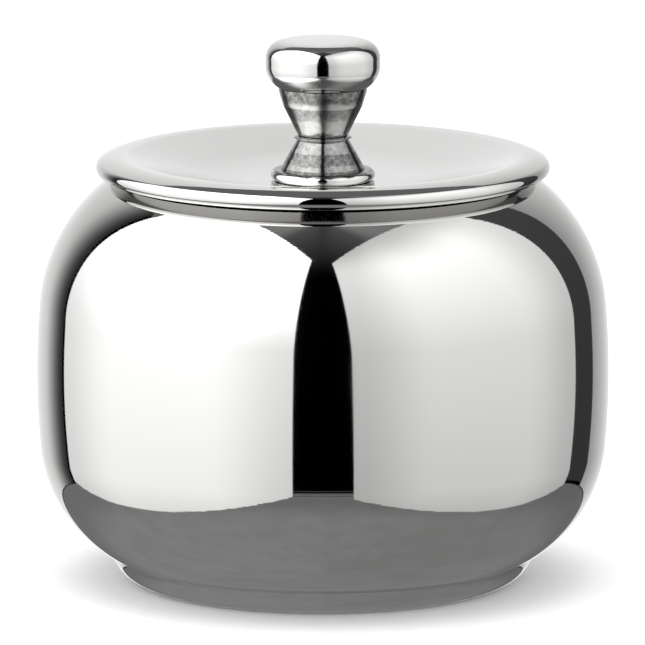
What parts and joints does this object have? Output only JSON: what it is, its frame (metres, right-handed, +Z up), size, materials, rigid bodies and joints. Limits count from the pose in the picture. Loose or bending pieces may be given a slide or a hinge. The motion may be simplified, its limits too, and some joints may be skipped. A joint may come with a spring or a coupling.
{
  "type": "sugar bowl",
  "caption": "Round lidded sugar bowl in polished sheet steel, with a foot ring and a lift-off dished lid that carries a turned knob.",
  "frame": {"origin": "centre of the foot ring's flat underside, on the table", "axes": "+Z up along the axis that every piece is turned about; X and Y are level and alike"},
  "size_m": [0.096, 0.096, 0.0913],
  "materials": {
    "polished_steel": "mirror-polished stainless steel sheet",
    "inner_steel": "satin stainless steel sheet",
    "cast_steel": "cast steel, polished on the head and rough as cast on the stem",
    "fastener_steel": "plain machined steel"
  },
  "bodies": {
    "bowl": {"bowl_shell": "polished_steel", "foot_ring": "polished_steel"},
    "lid": {"lid_plate": "polished_steel", "lid_skirt": "inner_steel", "knob_head": "cast_steel", "waist_ring": "cast_steel", "knob_pedestal": "cast_steel", "knob_screw": "fastener_steel", "flat_washer": "fastener_steel", "lock_washer": "fastener_steel"}
  },
  "joints": [
    {"name": "lid_lift", "type": "slide", "parent": "bowl", "child": "lid", "axis": [0, 0, 1], "range_m": [0, 0.06]}
  ]
}
